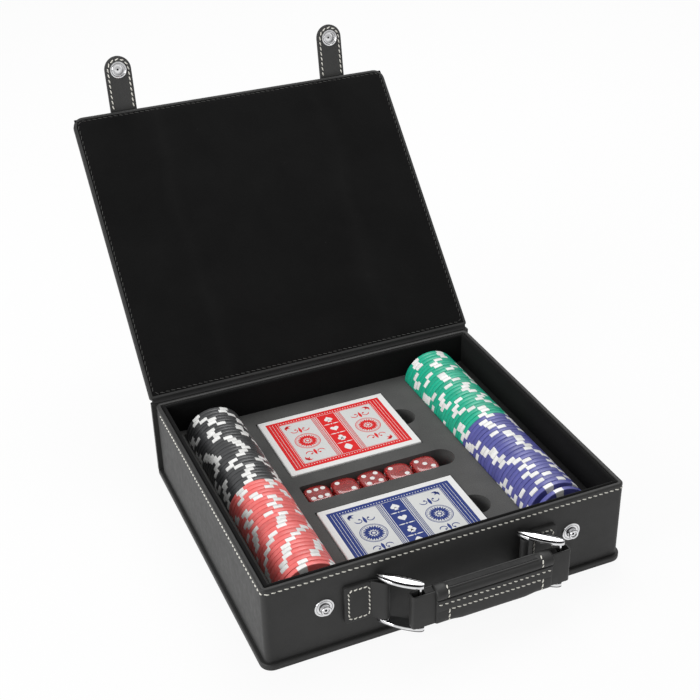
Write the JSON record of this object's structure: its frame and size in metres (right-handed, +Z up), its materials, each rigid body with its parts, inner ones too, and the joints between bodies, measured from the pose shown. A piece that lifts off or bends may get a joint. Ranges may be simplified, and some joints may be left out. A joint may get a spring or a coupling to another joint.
{
  "type": "poker set case",
  "caption": "Hinged stitched leather case, standing open, with snap straps, a swinging handle and a foam tray of edge-stood chips, boxed cards and dice.",
  "frame": {"origin": "on the table, under the middle of the case's side walls", "axes": "+X to the right along the front wall, +Y to the back towards the lid hinge, +Z up"},
  "size_m": [0.235, 0.3866, 0.2421],
  "materials": {
    "cover_leather": "fine-grained satin leather with cream stitching",
    "stiff_board": "bare grey board, hidden under the covers",
    "velvet": "short-pile black velvet",
    "flocked_foam": "flocked dense foam, dark grey and matt",
    "chrome": "bright chrome plate",
    "carton_red": "white carton with a red print, semi-gloss",
    "carton_blue": "white carton with a blue print, semi-gloss",
    "playing_cards": "stack of coated cards",
    "clear_red_plastic": "clear red acrylic with white pips",
    "chip_black": "moulded composite with white edge spots",
    "chip_red": "moulded composite with white edge spots",
    "chip_green": "moulded composite with white edge spots",
    "chip_blue": "moulded composite with white edge spots"
  },
  "bodies": {
    "root": {"base_board": "stiff_board", "base_leather": "cover_leather", "floor_card": "velvet", "spine_board": "stiff_board", "spine_leather": "cover_leather", "side_leather": "cover_leather", "wall_front": "stiff_board", "wall_back": "stiff_board", "wall_left": "stiff_board", "wall_right": "stiff_board", "liner_front": "velvet", "liner_back": "velvet", "liner_left": "velvet", "liner_right": "velvet", "foam_tray": "flocked_foam", "hinge_leather": "cover_leather", "snap_stud_left": "chrome", "snap_stud_right": "chrome", "stud_rivets": "chrome", "handle_tab_left": "cover_leather", "handle_tab_right": "cover_leather"},
    "lid": {"lid_board": "stiff_board", "lid_leather": "cover_leather", "lid_lining": "velvet", "strap_root_left": "cover_leather", "strap_root_right": "cover_leather", "strap_fold_left": "cover_leather", "strap_fold_right": "cover_leather"},
    "strap_left": {"strap_flap_left": "cover_leather", "snap_socket_left": "chrome", "snap_cap_left": "chrome"},
    "strap_right": {"strap_flap_right": "cover_leather", "snap_socket_right": "chrome", "snap_cap_right": "chrome"},
    "link_left": {"handle_link_left": "chrome"},
    "link_right": {"handle_link_right": "chrome"},
    "handle": {"handle_belt": "cover_leather", "handle_core": "stiff_board", "handle_grip": "cover_leather"},
    "deck_red": {"card_box_red": "carton_red", "tuck_flap_red": "carton_red", "card_pack_red": "playing_cards"},
    "deck_blue": {"card_box_blue": "carton_blue", "tuck_flap_blue": "carton_blue", "card_pack_blue": "playing_cards"},
    "die_1": {"die_1": "clear_red_plastic"},
    "die_2": {"die_2": "clear_red_plastic"},
    "die_3": {"die_3": "clear_red_plastic"},
    "die_4": {"die_4": "clear_red_plastic"},
    "die_5": {"die_5": "clear_red_plastic"},
    "chips_black": {"chips_black": "chip_black"},
    "chips_red": {"chips_red": "chip_red"},
    "chips_green": {"chips_green": "chip_green"},
    "chips_blue": {"chips_blue": "chip_blue"}
  },
  "joints": [
    {"name": "lid_hinge", "type": "hinge", "parent": "root", "child": "lid", "pos_m": [0, 0.1034, 0.05885], "axis": [1, 0, 0], "range_deg": [0, 134.7], "deforming": ["hinge_leather"]},
    {"name": "strap_left_fold", "type": "hinge", "parent": "lid", "child": "strap_left", "pos_m": [-0.0793, 0.25173, 0.20413], "axis": [1, 0, 0], "range_deg": [0, 54], "stiffness_Nm_per_rad": 0.01, "deforming": ["strap_fold_left"]},
    {"name": "strap_right_fold", "type": "hinge", "parent": "lid", "child": "strap_right", "pos_m": [0.0793, 0.25173, 0.20413], "axis": [1, 0, 0], "range_deg": [0, 54], "stiffness_Nm_per_rad": 0.01, "deforming": ["strap_fold_right"]},
    {"name": "link_left_swing", "type": "hinge", "parent": "root", "child": "link_left", "pos_m": [-0.0446, -0.1071, 0.0307], "axis": [0, 0, 1], "range_deg": [-111.6, 18.4]},
    {"name": "handle_swing", "type": "hinge", "parent": "link_left", "child": "handle", "pos_m": [-0.0297, -0.12119, 0.0307], "axis": [0, 0, 1], "range_deg": [-18.4, 111.6]},
    {"name": "link_right_swing", "type": "hinge", "parent": "root", "child": "link_right", "pos_m": [0.0446, -0.1071, 0.0307], "axis": [0, 0, 1], "range_deg": [-111.6, 18.4]},
    {"name": "deck_red_lift", "type": "slide", "parent": "root", "child": "deck_red", "axis": [0, 0, -1], "range_m": [-0.045, 0]},
    {"name": "deck_blue_lift", "type": "slide", "parent": "root", "child": "deck_blue", "axis": [0, 0, -1], "range_m": [-0.045, 0]},
    {"name": "die_1_lift", "type": "slide", "parent": "root", "child": "die_1", "axis": [0, 0, -1], "range_m": [-0.045, 0]},
    {"name": "die_2_lift", "type": "slide", "parent": "root", "child": "die_2", "axis": [0, 0, -1], "range_m": [-0.045, 0]},
    {"name": "die_3_lift", "type": "slide", "parent": "root", "child": "die_3", "axis": [0, 0, -1], "range_m": [-0.045, 0]},
    {"name": "die_4_lift", "type": "slide", "parent": "root", "child": "die_4", "axis": [0, 0, -1], "range_m": [-0.045, 0]},
    {"name": "die_5_lift", "type": "slide", "parent": "root", "child": "die_5", "axis": [0, 0, -1], "range_m": [-0.045, 0]},
    {"name": "chips_black_lift", "type": "slide", "parent": "root", "child": "chips_black", "axis": [0, 0, -1], "range_m": [-0.045, 0]},
    {"name": "chips_red_lift", "type": "slide", "parent": "root", "child": "chips_red", "axis": [0, 0, -1], "range_m": [-0.045, 0]},
    {"name": "chips_green_lift", "type": "slide", "parent": "root", "child": "chips_green", "axis": [0, 0, -1], "range_m": [-0.045, 0]},
    {"name": "chips_blue_lift", "type": "slide", "parent": "root", "child": "chips_blue", "axis": [0, 0, -1], "range_m": [-0.045, 0]}
  ],
  "couplings": [
    {"joint": "handle_swing", "follows": "link_left_swing", "ratio": -1},
    {"joint": "link_right_swing", "follows": "link_left_swing", "ratio": 1}
  ]
}
